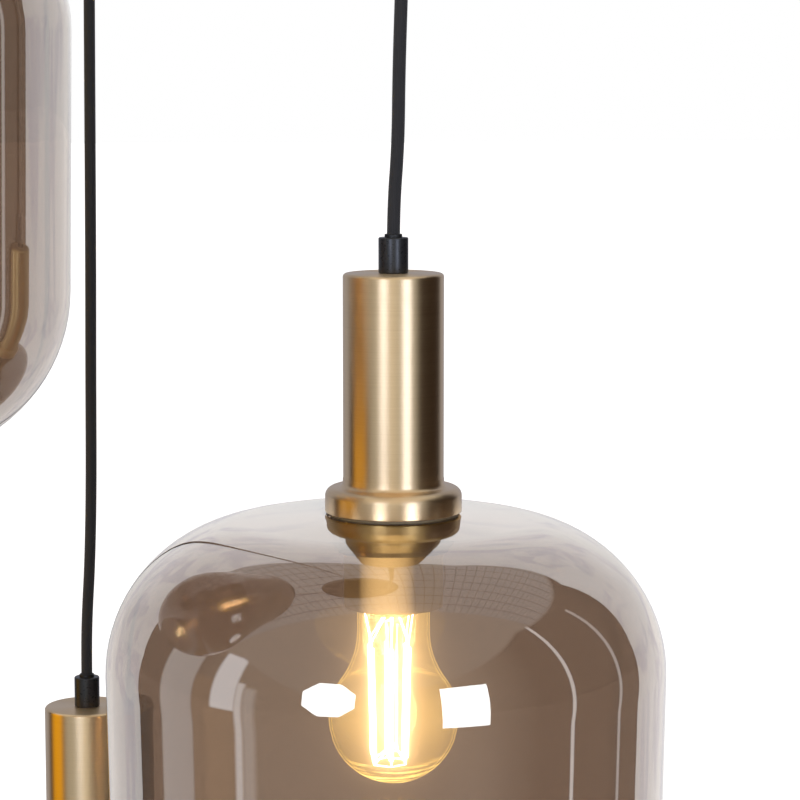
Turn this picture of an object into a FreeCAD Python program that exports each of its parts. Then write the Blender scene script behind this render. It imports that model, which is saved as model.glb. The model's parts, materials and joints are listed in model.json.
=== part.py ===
import FreeCAD, Part
import math
import os
from FreeCAD import Vector

# A cluster of three glass pendants under one round ceiling canopy.
# Millimetres, +Z up. The origin is the middle of the canopy's mounting plane, the ceiling.
# Inside a pendant, heights are measured from the top of its brass tube.

# Ceiling canopy: a shallow black steel dish that hides the bracket and the wiring
canopy_diameter = 400.0
canopy_height = 28.0
canopy_wall = 1.2
canopy_edge_radius = 5.0
outlet_circle_radius = 160.0
outlet_hole_clearance = 0.15

# Mounting bracket: a steel strip screwed to the ceiling, with a tab turned down at each end
bracket_width = 40.0
bracket_thickness = 2.0
bracket_tab_drop = 20.0
bracket_tab_clearance = 0.5
ceiling_slot_spacing = 200.0
ceiling_slot_length = 20.0
ceiling_slot_width = 5.4
cable_entry_x = -55.0
cable_entry_radius = 8.0

# Screws that hold the cover to the bracket tabs, and the earth screw
cover_screw_radius = 2.0
cover_screw_length = 9.0
cover_screw_head_radius = 4.0
cover_screw_head_height = 2.6
cover_screw_dome_radius = 2.0
cover_screw_height = -14.0
screw_clearance = 0.08
earth_screw_x = 48.0
earth_screw_length = 1.8

# Terminal block under the bracket
terminal_length = 40.0
terminal_width = 18.0
terminal_height = 14.0
terminal_edge = 1.0
terminal_bore_radius = 1.9
terminal_bore_depth = 7.0
terminal_poles = 3

# Threaded stems (M10) and the nuts on them
stem_radius = 5.0
stem_bore_radius = 4.0
thread_clearance = 0.05
nut_across_flats = 17.0
nut_height = 4.0

# Outlet grips: each holds one cord under the canopy, on a round bush that lets it swing
grip_radius = 7.0
grip_length = 16.0
grip_stem_length = 7.0
grip_bore_radius = 4.5
grip_mouth_radius = 4.5
grip_edge = 0.6
bush_radius = 4.2
bush_flat = 2.4
bush_bore_clearance = 0.25
bush_clearance = 0.12
bush_seat_radius = 3.9
pivot_below_canopy = 10.0

# Textile cord
cord_radius = 3.0
cord_clearance = 0.05
cord_above_pivot = 7.0
lead_radius = 2.4
lead_height = -11.0
lead_bend_radius = 8.0
lead_gap = 0.4

# Each pendant: from the ceiling to the top of its brass tube, its outlet's place on the
# circle, and how far the cord's own curl carries the lamp head away from its outlet
pendants = {
    "a": {"drop": 1044.0, "outlet_angle": -30.0, "drift": (-4.6, 0.0)},
    "b": {"drop": 1297.5, "outlet_angle": 90.0, "drift": (-7.8, 0.0)},
    "c": {"drop": 752.0, "outlet_angle": 210.0, "drift": (2.3, 0.0)},
}

# Free points of each cord, as (across, back, height): the first two from the lamp head's
# axis, the height from the top of its brass tube, going down from the canopy
cord_points = {
    "a": [
        (4.6, 0.0, 972.0),
        (4.9, -0.6, 920.0),
        (5.6, -1.2, 850.0),
        (6.3, -0.9, 770.0),
        (6.5, 0.1, 690.0),
        (6.1, 1.2, 612.0),
        (5.3, 1.6, 534.0),
        (4.7, 1.1, 456.0),
        (4.6, 0.0, 376.0),
        (5.6, 0.9, 330.0),
        (6.4, 2.2, 278.0),
        (6.3, 2.8, 222.0),
        (5.3, 2.2, 170.0),
        (3.8, 1.2, 126.0),
        (2.6, 0.6, 90.0),
        (2.2, 0.2, 58.0),
        (0.0, 0.0, 29.0),
    ],
    "b": [
        (7.8, 0.0, 1222.0),
        (7.6, -0.5, 1172.0),
        (7.0, -1.3, 1104.0),
        (6.4, -1.5, 1026.0),
        (6.3, -0.7, 946.0),
        (6.8, 0.5, 866.0),
        (7.6, 1.3, 786.0),
        (8.0, 0.9, 706.0),
        (7.8, 0.0, 626.0),
        (8.1, 0.8, 584.0),
        (7.6, 1.9, 528.0),
        (7.1, 2.8, 462.0),
        (6.5, 2.6, 390.0),
        (5.9, 1.9, 318.0),
        (5.3, 1.4, 246.0),
        (4.4, 0.9, 178.0),
        (3.9, 0.5, 122.0),
        (2.6, 0.2, 80.0),
        (0.5, 0.0, 48.0),
        (0.0, 0.0, 27.0),
    ],
    "c": [
        (-2.3, 0.0, 680.0),
        (-2.6, 0.5, 628.0),
        (-3.2, 1.2, 556.0),
        (-3.5, 1.1, 476.0),
        (-3.2, 0.2, 396.0),
        (-2.6, -0.8, 318.0),
        (-2.1, -1.1, 244.0),
        (-2.0, -0.7, 178.0),
        (-2.2, -0.3, 128.0),
        (-2.3, 0.0, 93.0),
        (-2.0, 0.3, 70.0),
        (-0.5, 0.4, 46.0),
        (0.0, 0.0, 26.0),
    ],
}
# The cord's loose run down the stem to the lampholder, in the same terms
cord_points_in_head = [(0.0, 0.0, -12.0), (0.4, 0.2, -42.0), (-0.3, 0.1, -72.0)]
cord_arc_share = 0.45

# Cord gland on top of the lamp head, and the nylon clamp inside it
gland_radius = 6.8
gland_height = 16.2
gland_edge = 0.6
gland_thread_depth = 7.0
clamp_radius = 4.0
clamp_clearance = 0.05
clamp_stand_proud = 1.5
stem_end_gap = 0.2

# Brass tube, a cup that opens downwards
tube_radius = 23.0
tube_length = 97.5
tube_wall = 1.5
tube_top_thickness = 2.0
tube_edge_radius = 1.6

# Brass flange that carries the tube and presses on the glass
flange_radius = 31.3
flange_height = 11.5
flange_shoulder_radius = 4.0
flange_shoulder_fall = 0.5
flange_lower_edge = 0.5
flange_lip_height = 3.6
flange_lip_width = 0.5
flange_lip_edge = 0.2
flange_cove_radius = 2.4
tube_seat_depth = 2.0
fit_clearance = 0.05

# Brass sleeve that runs down through the glass around the lampholder
sleeve_radius = 22.6
sleeve_wall = 1.2
sleeve_below_flange = 43.6
sleeve_top_gap = 0.3
sleeve_rim_radius = 0.5

# Silicone seat around the hole of the glass, and the ring that clamps it from below
seat_thickness = 1.0
seat_radius = 30.0
clamp_ring_radius = 30.0
clamp_ring_lower_radius = 25.0
clamp_ring_height = 11.0
clamp_ring_edge = 1.0

# Glass shade, all radii to the outside; the corner radius is that of the side before
# the shoulder is rounded
glass_corner_radius = 129.8
glass_height = 262.0
glass_thickness = 3.0
glass_neck_flat_radius = 32.0
glass_neck_blend = 15.0
glass_shoulder_radius = 70.0
glass_dome_slope = 4.6
glass_side_taper = 1.0
glass_bottom_radius = 74.0
glass_mouth_radius = 50.0
glass_hole_edge = 0.8
glass_rim_radius = 1.4

# Lampholder (E27) inside the sleeve
holder_radius = 20.5
holder_above_rim = 1.4
holder_length = 52.0
holder_edge = 2.0
holder_boss_radius = 8.0
holder_boss_height = 8.0
holder_cord_depth = 6.0
shell_radius = 14.1
shell_wall = 0.65
shell_length = 22.0
shell_clearance = 0.1
contact_radius = 3.0
contact_height = 2.5
contact_gap = 0.1

# Bulb (A60, E27)
bulb_length = 111.0
bulb_radius = 30.0
bulb_neck_radius = 16.6
bulb_flare_radius = 40.0
bulb_glass_wall = 1.0
bulb_neck_edge = 2.0
bulb_plug_radius = 12.1
bulb_plug_length = 12.0
cap_length = 27.0
cap_crest_radius = 13.15
cap_valley_radius = 12.75
cap_thread_pitch = 3.6
cap_threads = 4
cap_skirt_length = 4.6
cap_wall = 0.5
cap_tip_radius = 4.8
cap_crown_height = 5.0
cap_insulator_radius = 9.0
cap_fit_clearance = 0.1

# Filaments: a ring of rods round the glass post
filament_count = 6
filament_radius = 1.1
filament_length = 52.0
filament_circle_radius = 10.5
filament_lean = 2.0
filament_top_below_cap = 20.2
post_radius = 2.2
post_flare_length = 12.0
post_rim_thickness = 1.0
hook_radius = 0.5

# Derived heights inside a pendant
flange_top = -tube_length
flange_bottom = flange_top - flange_height
glass_top = flange_bottom - seat_thickness
glass_inner_top = glass_top - glass_thickness
clamp_ring_top = glass_inner_top - seat_thickness
sleeve_top = flange_top - tube_seat_depth - sleeve_top_gap
sleeve_bottom = flange_bottom - sleeve_below_flange
holder_mouth = sleeve_bottom + holder_above_rim
holder_top = holder_mouth + holder_length
holder_boss_top = holder_top + holder_boss_height
cap_skirt = sleeve_bottom + holder_above_rim - stem_end_gap
cap_tip = cap_skirt + cap_length
holder_floor = cap_tip + contact_gap + contact_height
bulb_bottom = cap_tip - bulb_length
clamp_bottom = gland_thread_depth + stem_end_gap
clamp_top = gland_height + clamp_stand_proud
head_stem_bottom = holder_top
cord_end = holder_top - holder_cord_depth + stem_end_gap
canopy_floor = -canopy_height
grip_bottom = canopy_floor - grip_length
pivot_height = canopy_floor - pivot_below_canopy

# Drawing: how much of a side a corner's arc may take up, and the length that counts as nothing
arc_room_share = 0.49
same_point = 1e-6
up = Vector(0, 0, 1)
origin = Vector(0, 0, 0)


def outlet(name):
    """Middle of a pendant's outlet, on the ceiling plane."""
    angle = math.radians(pendants[name]["outlet_angle"])
    return Vector(outlet_circle_radius * math.cos(angle), outlet_circle_radius * math.sin(angle), 0)


def head_place(name):
    """Top of a pendant's brass tube, on its axis."""
    across, back = pendants[name]["drift"]
    return outlet(name) + Vector(across, back, -pendants[name]["drop"])


def moved(shape, place):
    copy = shape.copy()
    copy.translate(place)
    return copy


def half_angle(before, corner, after):
    return (before - corner).getAngle(after - corner) / 2


def shorter_side(before, corner, after):
    return min((before - corner).Length, (after - corner).Length)


def arc_reaches(points, radii):
    """How far along its sides each corner's arc reaches: its full reach, or its share of a short side."""
    following = points[1:] + points[:1]
    full = [
        radius / math.tan(half_angle(points[k - 1], points[k], following[k])) if radius > 0 else 0.0
        for k, radius in enumerate(radii)
    ]
    reaches = []
    for k, reach in enumerate(full):
        for neighbour in (k - 1, (k + 1) % len(points)):
            side = (points[neighbour] - points[k]).Length
            reach = min(reach, max(arc_room_share * side, 2 * arc_room_share * side - full[neighbour]))
        reaches.append(reach)
    return reaches


def corner_arc(before, corner, after, reach):
    """Start, middle and end of the arc that rounds a corner."""
    to_before, to_after = before - corner, after - corner
    half_turn = half_angle(before, corner, after)
    radius = reach * math.tan(half_turn)
    to_before.normalize()
    to_after.normalize()
    bisector = (to_before + to_after).normalize()
    middle = corner + bisector * (radius / math.sin(half_turn) - radius)
    return corner + to_before * reach, middle, corner + to_after * reach


def outline_edges(corners):
    """Edges of a closed outline; each corner is (across, height, radius of its rounding)."""
    points = [Vector(across, 0, height) for across, height, _ in corners]
    starts, ends, arcs = [], [], []
    for k, reach in enumerate(arc_reaches(points, [radius for _, _, radius in corners])):
        if reach > 0:
            following = points[(k + 1) % len(points)]
            start, middle, end = corner_arc(points[k - 1], points[k], following, reach)
            arcs.append(Part.Arc(start, middle, end).toShape())
        else:
            start = end = points[k]
            arcs.append(None)
        starts.append(start)
        ends.append(end)
    edges = []
    for k, arc in enumerate(arcs):
        if arc:
            edges.append(arc)
        following = starts[(k + 1) % len(starts)]
        if ends[k].distanceToPoint(following) > same_point:
            edges.append(Part.makeLine(ends[k], following))
    return edges


def turned(corners):
    """Solid of revolution about the Z axis from a closed outline."""
    face = Part.Face(Part.Wire(outline_edges(corners)))
    return face.revolve(origin, up, 360)


def tube(outer, inner, bottom, top, edge=0.0):
    return turned([(inner, bottom, 0), (outer, bottom, edge), (outer, top, edge), (inner, top, 0)])


def rod(radius, start, end):
    return Part.makeCylinder(radius, (end - start).Length, start, end - start)


def inset(points, distance):
    """An open outline moved inwards by a wall's thickness: to the right of its direction."""
    sides = []
    for first, second in zip(points, points[1:]):
        along = (second - first).normalize()
        inwards = Vector(along.z, 0, -along.x) * distance
        sides.append((first + inwards, along, second + inwards))
    corners = [sides[0][0]]
    for (start, along, _), (next_start, next_along, _) in zip(sides, sides[1:]):
        gap = next_start - start
        turn = along.x * next_along.z - along.z * next_along.x
        step = (gap.x * next_along.z - gap.z * next_along.x) / turn
        corners.append(start + along * step)
    return corners + [sides[-1][2]]


def ring_point(radius, turn, height):
    return Vector(radius * math.cos(turn), radius * math.sin(turn), height)


def hexagon_nut(bottom, bore):
    """M10 nut on the Z axis."""
    corner_distance = nut_across_flats / math.sqrt(3)
    corners = [ring_point(corner_distance, math.radians(turn), bottom) for turn in range(0, 361, 60)]
    block = Part.Face(Part.makePolygon(corners)).extrude(up * nut_height)
    return block.cut(Part.makeCylinder(bore, nut_height, Vector(0, 0, bottom)))


# Canopy


def canopy_cover():
    outer, inner = canopy_diameter / 2, canopy_diameter / 2 - canopy_wall
    ceiling_side = canopy_floor + canopy_wall
    cover = turned(
        [
            (0, canopy_floor, 0),
            (outer, canopy_floor, canopy_edge_radius),
            (outer, 0, 0),
            (inner, 0, 0),
            (inner, ceiling_side, canopy_edge_radius - canopy_wall),
            (0, ceiling_side, 0),
        ]
    )
    hole_radius = stem_radius + outlet_hole_clearance
    for name in pendants:
        cover = cover.cut(Part.makeCylinder(hole_radius, canopy_height, outlet(name) - up * canopy_height))
    screw_hole = cover_screw_radius + screw_clearance
    across = Vector(canopy_diameter, 0, 0)
    height = Vector(0, 0, cover_screw_height)
    return cover.cut(rod(screw_hole, height - across, height + across))


def bracket_reach():
    """Half the length of the bracket: its flat tabs stand just inside the round cover."""
    inner = canopy_diameter / 2 - canopy_wall
    return math.sqrt(inner**2 - (bracket_width / 2) ** 2) - bracket_tab_clearance


def ceiling_bracket():
    reach = bracket_reach()
    inside = reach - bracket_thickness
    outline = [
        (-reach, 0, 0),
        (-reach, -bracket_tab_drop, 0),
        (-inside, -bracket_tab_drop, 0),
        (-inside, -bracket_thickness, 0),
        (inside, -bracket_thickness, 0),
        (inside, -bracket_tab_drop, 0),
        (reach, -bracket_tab_drop, 0),
        (reach, 0, 0),
    ]
    strip = Part.Face(Part.Wire(outline_edges(outline))).extrude(Vector(0, bracket_width, 0))
    strip.translate(Vector(0, -bracket_width / 2, 0))
    for side in (-1, 1):
        strip = strip.cut(ceiling_slot(side * ceiling_slot_spacing / 2))
    strip = strip.cut(round_hole(cable_entry_x, cable_entry_radius))
    strip = strip.cut(round_hole(earth_screw_x, cover_screw_radius + screw_clearance))
    height = Vector(0, 0, cover_screw_height)
    across = Vector(canopy_diameter, 0, 0)
    return strip.cut(rod(cover_screw_radius + screw_clearance, height - across, height + across))


def round_hole(x, radius):
    return Part.makeCylinder(radius, bracket_thickness, Vector(x, 0, -bracket_thickness))


def ceiling_slot(x):
    """Slot for a ceiling screw, long side across."""
    half_run = (ceiling_slot_length - ceiling_slot_width) / 2
    bar = Part.makeBox(2 * half_run, ceiling_slot_width, bracket_thickness)
    bar.translate(Vector(x - half_run, -ceiling_slot_width / 2, -bracket_thickness))
    ends = [round_hole(x + side * half_run, ceiling_slot_width / 2) for side in (-1, 1)]
    return bar.fuse(ends).removeSplitter()


def domed_screw(length):
    """Screw with its head's underside at the origin and its shank along -Z."""
    return turned(
        [
            (0, -length, 0),
            (cover_screw_radius, -length, cover_screw_radius / 4),
            (cover_screw_radius, 0, 0),
            (cover_screw_head_radius, 0, 0),
            (cover_screw_head_radius, cover_screw_head_height, cover_screw_dome_radius),
            (0, cover_screw_head_height, 0),
        ]
    )


def cover_screws():
    """Two screws through the cover's side into the bracket tabs."""
    screws = []
    for side in (-1, 1):
        screw = domed_screw(cover_screw_length)
        screw.rotate(origin, Vector(0, 1, 0), side * 90)
        screw.translate(Vector(side * (canopy_diameter / 2 + screw_clearance), 0, cover_screw_height))
        screws.append(screw)
    return Part.makeCompound(screws)


def earth_screw():
    """Head against the bracket's underside, shank up into it."""
    screw = domed_screw(earth_screw_length)
    screw.rotate(origin, Vector(1, 0, 0), 180)
    screw.translate(Vector(earth_screw_x, 0, -bracket_thickness - screw_clearance))
    return screw


def terminal_block():
    block = Part.makeBox(terminal_length, terminal_width, terminal_height)
    block.translate(Vector(-terminal_length / 2, -terminal_width / 2, -bracket_thickness - terminal_height))
    upright = [edge for edge in block.Edges if edge.tangentAt(edge.FirstParameter).isParallel(up, same_point)]
    block = block.makeFillet(terminal_edge, upright)
    for mouth, inwards in terminal_bores():
        block = block.cut(rod(terminal_bore_radius, mouth, mouth + inwards * terminal_bore_depth))
    return block


def terminal_bores():
    """Mouth and inward direction of each wire bore, one on each long side per pole."""
    pitch = terminal_length / terminal_poles
    bores = []
    for pole in range(terminal_poles):
        x = (pole - (terminal_poles - 1) / 2) * pitch
        for side in (-1, 1):
            mouth = Vector(x, side * terminal_width / 2, lead_height)
            bores.append((mouth, Vector(0, -side, 0)))
    return bores


def outlet_grip():
    """One grip, with its outlet's axis on Z: a threaded stem above a turned body."""
    seat = pivot_height - math.sqrt(bush_radius**2 - bush_seat_radius**2) - bush_clearance
    seat_start = pivot_height - bush_radius / 4
    return turned(
        [
            (grip_bore_radius, seat_start, 0),
            (bush_seat_radius, seat, 0),
            (bush_seat_radius, seat - grip_edge, 0),
            (grip_mouth_radius, grip_bottom, 0),
            (grip_radius, grip_bottom, grip_edge),
            (grip_radius, canopy_floor, grip_edge),
            (stem_radius, canopy_floor, 0),
            (stem_radius, canopy_floor + grip_stem_length, 0),
            (grip_bore_radius, canopy_floor + grip_stem_length, 0),
        ]
    )


def outlet_bush():
    """Round nylon bush that rests in the grip's seat, with play for the cord to tilt in it."""
    ball = Part.makeSphere(bush_radius, Vector(0, 0, pivot_height))
    slab = Part.makeBox(4 * bush_radius, 4 * bush_radius, 2 * bush_flat)
    slab.translate(Vector(-2 * bush_radius, -2 * bush_radius, pivot_height - bush_flat))
    bore_start = Vector(0, 0, pivot_height - bush_radius)
    bore = Part.makeCylinder(cord_radius + bush_bore_clearance, 2 * bush_radius, bore_start)
    return ball.common(slab).cut(bore)


def canopy_leads():
    """The cords' cores, from each grip's stem to the terminal block."""
    leads = []
    for name in pendants:
        start = outlet(name) + up * (pivot_height + cord_above_pivot + lead_gap)
        bend = Vector(start.x, start.y, lead_height)
        mouth, inwards = max(terminal_bores(), key=lambda bore: wire_order(bore, start))
        approach = mouth - inwards * 2 * lead_bend_radius
        route = [start, bend, approach, mouth - inwards * lead_gap]
        leads.append(pipe(route, lead_radius, lead_bend_radius))
    return Part.makeCompound(leads)


def wire_order(bore, start):
    """How well a bore of the terminal block suits a lead: on its side, an outer pole, and near."""
    mouth, _ = bore
    return mouth.y * start.y > 0 and mouth.x != 0, -mouth.distanceToPoint(start)


def pipe(points, radius, bend_radius):
    """Round bar along straight runs with one bend radius."""
    edges, start = [], points[0]
    for before, corner, after in zip(points, points[1:], points[2:]):
        full_reach = bend_radius / math.tan(half_angle(before, corner, after))
        reach = min(full_reach, arc_room_share * shorter_side(before, corner, after))
        arc_start, middle, arc_end = corner_arc(before, corner, after, reach)
        edges.append(Part.makeLine(start, arc_start))
        edges.append(Part.Arc(arc_start, middle, arc_end).toShape())
        start = arc_end
    edges.append(Part.makeLine(start, points[-1]))
    return swept(edges, radius)


def swept(edges, radius):
    path = Part.Wire(edges)
    first = edges[0]
    start, direction = first.valueAt(first.FirstParameter), first.tangentAt(first.FirstParameter)
    section = Part.Wire([Part.makeCircle(radius, start, direction)])
    return path.makePipeShell([section], True, True)


# Cords


def cord_route(name):
    """Points of a pendant's cord from inside its outlet down to the lampholder."""
    head = head_place(name)
    top = outlet(name) + up * (pivot_height + cord_above_pivot)
    free = [head + Vector(*point) for point in cord_points[name]]
    inside = [head + Vector(*point) for point in cord_points_in_head]
    return [top] + free + inside + [head + up * cord_end]


def cord(name):
    """Tube along the route: straight runs joined by the largest tangent arcs that fit."""
    points = cord_route(name)
    edges, start, radii = [], points[0], []
    for before, corner, after in zip(points, points[1:], points[2:]):
        reach = cord_arc_share * shorter_side(before, corner, after)
        arc_start, middle, arc_end = corner_arc(before, corner, after, reach)
        edges.append(Part.makeLine(start, arc_start))
        edges.append(Part.Arc(arc_start, middle, arc_end).toShape())
        radii.append(round(reach * math.tan(half_angle(before, corner, after))))
        start = arc_end
    edges.append(Part.makeLine(start, points[-1]))
    solid = swept(edges, cord_radius)
    length = sum(edge.Length for edge in edges)
    share = solid.Volume / (math.pi * cord_radius**2 * length)
    print(f"cord {name}: {length:.1f} mm, volume over section times length {share:.5f}, radii {radii}")
    return solid


# Lamp head


def cord_gland():
    bore, thread_bore = clamp_radius + clamp_clearance, stem_radius + thread_clearance
    return turned(
        [
            (thread_bore, 0, 0),
            (gland_radius, 0, gland_edge),
            (gland_radius, gland_height, gland_edge),
            (bore, gland_height, 0),
            (bore, gland_thread_depth, 0),
            (thread_bore, gland_thread_depth, 0),
        ]
    )


def cord_clamp():
    bore = cord_radius + cord_clearance
    return turned(
        [
            (bore, clamp_bottom, 0),
            (clamp_radius, clamp_bottom, 0),
            (clamp_radius, clamp_top, gland_edge / 2),
            (bore, clamp_top, 0),
        ]
    )


def head_stem():
    """Threaded steel stem from the gland down to the lampholder."""
    return tube(stem_radius, stem_bore_radius, head_stem_bottom, gland_thread_depth - stem_end_gap)


def tube_nut():
    return hexagon_nut(-tube_top_thickness - nut_height, stem_radius + thread_clearance)


def head_tube():
    inner, bottom = tube_radius - tube_wall, flange_top - tube_seat_depth
    hole = stem_radius + thread_clearance
    return turned(
        [
            (hole, 0, 0),
            (tube_radius, 0, tube_edge_radius),
            (tube_radius, bottom, 0),
            (inner, bottom, 0),
            (inner, -tube_top_thickness, tube_edge_radius / 2),
            (hole, -tube_top_thickness, 0),
        ]
    )


def flange():
    """The tube stands in a seat on its top, the sleeve goes up into its bore."""
    seat, bore = tube_radius + fit_clearance, sleeve_radius + fit_clearance
    lip = tube_radius + flange_lip_width
    ledge = flange_top - tube_seat_depth
    inner = tube_radius - tube_wall
    return turned(
        [
            (bore, flange_bottom, 0),
            (flange_radius, flange_bottom, flange_lower_edge),
            (flange_radius, flange_top - flange_shoulder_fall, flange_shoulder_radius),
            (lip, flange_top, flange_cove_radius),
            (lip, flange_top + flange_lip_height, flange_lip_edge),
            (seat, flange_top + flange_lip_height, 0),
            (seat, ledge, 0),
            (inner, ledge, 0),
            (inner, sleeve_top, 0),
            (bore, sleeve_top, 0),
        ]
    )


def sleeve():
    inner = sleeve_radius - sleeve_wall
    return turned(
        [
            (inner, sleeve_bottom, sleeve_rim_radius),
            (sleeve_radius, sleeve_bottom, sleeve_rim_radius),
            (sleeve_radius, sleeve_top, 0),
            (inner, sleeve_top, 0),
        ]
    )


def glass_hole_radius():
    return sleeve_radius + fit_clearance + seat_thickness


def glass_seat():
    """Silicone grommet: a disc above the glass, one below it and a hub in its hole."""
    bore = sleeve_radius + fit_clearance
    hub = glass_hole_radius()
    return turned(
        [
            (bore, clamp_ring_top, 0),
            (seat_radius, clamp_ring_top, 0),
            (seat_radius, glass_inner_top, 0),
            (hub, glass_inner_top, 0),
            (hub, glass_top, 0),
            (seat_radius, glass_top, 0),
            (seat_radius, flange_bottom, 0),
            (bore, flange_bottom, 0),
        ]
    )


def clamp_ring():
    bottom = clamp_ring_top - clamp_ring_height
    bore = sleeve_radius + thread_clearance
    return turned(
        [
            (bore, bottom, 0),
            (clamp_ring_lower_radius, bottom, clamp_ring_edge),
            (clamp_ring_lower_radius, bottom + clamp_ring_height / 4, clamp_ring_edge),
            (clamp_ring_radius, clamp_ring_top - clamp_ring_height / 3, clamp_ring_edge),
            (clamp_ring_radius, clamp_ring_top, clamp_ring_edge),
            (bore, clamp_ring_top, 0),
        ]
    )


def glass_shade():
    hole = glass_hole_radius() + fit_clearance
    neck = Vector(glass_neck_flat_radius, 0, glass_top)
    dome_drop = math.tan(math.radians(glass_dome_slope)) * (glass_corner_radius - glass_neck_flat_radius)
    shoulder = Vector(glass_corner_radius, 0, glass_top - dome_drop)
    glass_bottom = glass_top - glass_height
    narrowing = math.tan(math.radians(glass_side_taper)) * (shoulder.z - glass_bottom)
    foot = Vector(glass_corner_radius - narrowing, 0, glass_bottom)
    mouth = Vector(glass_mouth_radius, 0, glass_bottom)
    outside = [Vector(hole, 0, glass_top), neck, shoulder, foot, mouth]
    radii = [glass_hole_edge, glass_neck_blend, glass_shoulder_radius, glass_bottom_radius]
    inner_radii = [glass_hole_edge] + [radius - glass_thickness for radius in radii[1:]]
    inside = inset(outside, glass_thickness)
    outer_wall = list(zip(outside, radii + [glass_rim_radius]))
    inner_wall = list(zip(inside, inner_radii + [glass_rim_radius]))
    return turned([(point.x, point.z, radius) for point, radius in outer_wall + inner_wall[::-1]])


def lamp_holder():
    cavity = shell_radius + shell_clearance
    boss_bore, cord_bore = stem_radius + thread_clearance, stem_bore_radius
    return turned(
        [
            (cavity, holder_mouth, 0),
            (holder_radius, holder_mouth, holder_edge / 2),
            (holder_radius, holder_top, holder_edge),
            (holder_boss_radius, holder_top, 0),
            (holder_boss_radius, holder_boss_top, holder_edge / 2),
            (boss_bore, holder_boss_top, 0),
            (boss_bore, head_stem_bottom - thread_clearance, 0),
            (cord_bore, head_stem_bottom - thread_clearance, 0),
            (cord_bore, holder_top - holder_cord_depth, 0),
            (0, holder_top - holder_cord_depth, 0),
            (0, holder_floor, 0),
            (cavity, holder_floor, 0),
        ]
    )


def holder_contacts():
    """The screw shell and the centre contact, two brass pieces in the holder's cavity."""
    shell = tube(shell_radius, shell_radius - shell_wall, holder_floor - shell_length, holder_floor)
    tip = turned(
        [
            (0, holder_floor - contact_height, 0),
            (contact_radius, holder_floor - contact_height, contact_radius / 3),
            (contact_radius, holder_floor, 0),
            (0, holder_floor, 0),
        ]
    )
    return Part.makeCompound([shell, tip])


# Bulb


def bulb_profile(inset_by, top):
    """Edges of the bulb's outside, or its inside for a wall's inset, from the lowest point up."""
    body, neck = bulb_radius - inset_by, bulb_neck_radius - inset_by
    flare = bulb_flare_radius + inset_by
    middle = bulb_bottom + bulb_radius
    flare_across = neck + flare
    flare_rise = math.sqrt((body + flare) ** 2 - flare_across**2)
    share = body / (body + flare)
    join = Vector(flare_across * share, 0, middle + flare_rise * share)
    side_angle = math.atan2(join.z - middle, join.x)
    flank_angle = (side_angle - math.pi / 2) / 2
    flank = Vector(body * math.cos(flank_angle), 0, middle + body * math.sin(flank_angle))
    neck_start = Vector(neck, 0, middle + flare_rise)
    to_join = math.atan2(join.z - neck_start.z, join.x - flare_across)
    to_join += 2 * math.pi if to_join < 0 else 0
    waist_angle = (to_join + math.pi) / 2
    waist = Vector(
        flare_across + flare * math.cos(waist_angle), 0, neck_start.z + flare * math.sin(waist_angle)
    )
    return [
        Part.Arc(Vector(0, 0, middle - body), flank, join).toShape(),
        Part.Arc(join, waist, neck_start).toShape(),
        Part.makeLine(neck_start, Vector(neck, 0, top)),
    ]


def bulb_envelope():
    """Clear glass: the pear, drawn in at the top to a plug that stands in the cap."""
    plug, wall = bulb_plug_radius, bulb_glass_wall
    shoulder = cap_skirt - bulb_neck_edge - cap_fit_clearance
    plug_top = cap_skirt + bulb_plug_length
    outer_end = Vector(bulb_neck_radius, 0, shoulder)
    inner_end = Vector(bulb_neck_radius - wall, 0, shoulder - wall)
    ledge = Vector(plug, 0, shoulder + bulb_neck_edge)
    top = [
        Part.makeLine(outer_end, ledge),
        Part.makeLine(ledge, Vector(plug, 0, plug_top)),
        Part.makeLine(Vector(plug, 0, plug_top), Vector(plug - wall, 0, plug_top)),
        Part.makeLine(Vector(plug - wall, 0, plug_top), Vector(plug - wall, 0, ledge.z - wall)),
        Part.makeLine(Vector(plug - wall, 0, ledge.z - wall), inner_end),
    ]
    outside = bulb_profile(0, outer_end.z)
    inside = bulb_profile(wall, inner_end.z)
    closing = [Part.makeLine(Vector(0, 0, bulb_bottom), Vector(0, 0, bulb_bottom + wall))]
    outline = Part.Wire(Part.__sortEdges__(outside + top + inside + closing))
    return Part.Face(outline).revolve(origin, up, 360)


def bulb_cap():
    """Screw cap with rolled threads, a dark crown and the centre contact."""
    bore = cap_valley_radius - cap_wall
    corners = [(bore, cap_skirt, 0), (cap_valley_radius, cap_skirt, 0)]
    for thread in range(cap_threads):
        foot = cap_skirt + cap_skirt_length + thread * cap_thread_pitch
        crest = foot + cap_thread_pitch / 2
        corners.append((cap_valley_radius, foot, cap_thread_pitch / 4))
        corners.append((cap_crest_radius, crest, cap_thread_pitch / 4))
    shoulder = cap_tip - cap_crown_height
    corners += [
        (cap_valley_radius, shoulder, cap_thread_pitch / 4),
        (cap_insulator_radius, shoulder + cap_crown_height / 2, 0),
        (cap_tip_radius, cap_tip - cap_crown_height / 4, 0),
        (cap_tip_radius, cap_tip, cap_wall),
        (0, cap_tip, 0),
        (0, shoulder - cap_wall, 0),
        (bore, shoulder - cap_wall, 0),
    ]
    return turned(corners)


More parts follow.
